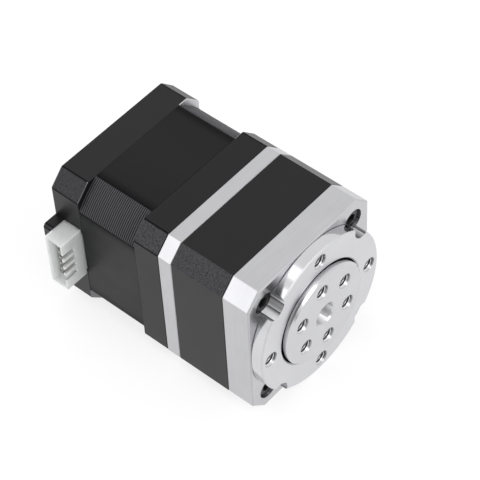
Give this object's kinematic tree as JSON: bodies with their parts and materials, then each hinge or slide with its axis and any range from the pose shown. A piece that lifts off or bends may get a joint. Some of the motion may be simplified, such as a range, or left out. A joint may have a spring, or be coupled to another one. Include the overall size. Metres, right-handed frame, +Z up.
{
  "type": "geared stepper motor",
  "caption": "Square-frame stepper motor with a short strain wave gear on its front, a round output flange with tapped holes, and a plug-in socket on one side.",
  "frame": {"origin": "on the motor's axis, in the plane of the front ring's mounting face", "axes": "+Y runs back along the axis from the output to the rear cap, +Z is up, and the connector is on the -X side"},
  "size_m": [0.049, 0.0643, 0.0424],
  "materials": {
    "machined_aluminium": "fine machined, clear anodised",
    "black_anodised": "satin black anodised",
    "black_cap": "black paint over a die casting",
    "black_laminations": "black painted stacked sheet",
    "black_screws": "black oxide",
    "plated_screws": "zinc plated",
    "bearing_steel": "ground and polished",
    "gear_steel": "fine machined",
    "rotor_steel": "ground laminations",
    "magnet": "plated",
    "seal_rubber": "matt",
    "white_nylon": "moulded",
    "contact_tin": "tinned",
    "bobbin_plastic": "moulded",
    "copper_wire": "enamelled",
    "board": "printed board"
  },
  "bodies": {
    "housing": {"front_ring": "machined_aluminium", "front_plate": "machined_aluminium", "ring_screws": "black_screws", "corner_screws": "black_screws", "output_bearing_outer": "bearing_steel", "output_seal": "seal_rubber", "gear_housing": "black_anodised", "circular_spline": "gear_steel", "spline_dowels": "bearing_steel", "adapter_plate": "machined_aluminium", "shaft_seal": "seal_rubber", "motor_front_cap": "black_cap", "front_bearing_outer": "bearing_steel", "stator_stack": "black_laminations", "front_bobbin": "bobbin_plastic", "rear_bobbin": "bobbin_plastic", "windings": "copper_wire", "rear_bearing_outer": "bearing_steel", "wave_washer": "bearing_steel", "motor_rear_cap": "black_cap", "tie_screws": "plated_screws", "connector_header": "white_nylon", "connector_contacts": "contact_tin", "connection_board": "board"},
    "rotor": {"motor_shaft": "bearing_steel", "rotor_core_front": "rotor_steel", "rotor_core_rear": "rotor_steel", "rotor_magnet": "magnet", "front_bearing_inner": "bearing_steel", "front_bearing_balls": "bearing_steel", "rear_bearing_inner": "bearing_steel", "rear_bearing_balls": "bearing_steel", "wave_generator": "gear_steel", "set_screws": "black_screws", "flex_bearing_inner": "bearing_steel", "flex_bearing_balls": "bearing_steel", "flex_bearing_outer": "bearing_steel"},
    "output": {"output_flange": "machined_aluminium", "output_bearing_inner": "bearing_steel", "output_bearing_rollers": "bearing_steel", "bearing_retainer": "gear_steel", "flexspline": "gear_steel", "clamp_ring": "gear_steel", "clamp_screws": "black_screws"}
  },
  "joints": [
    {"name": "rotor_spin", "type": "hinge", "parent": "housing", "child": "rotor", "pos_m": [0, 0, 0], "axis": [0, 1, 0], "continuous": true, "deforming": ["flexspline"]},
    {"name": "output_spin", "type": "hinge", "parent": "housing", "child": "output", "pos_m": [0, 0, 0], "axis": [0, 1, 0], "continuous": true}
  ],
  "couplings": [
    {"joint": "output_spin", "follows": "rotor_spin", "ratio": -0.033333}
  ]
}
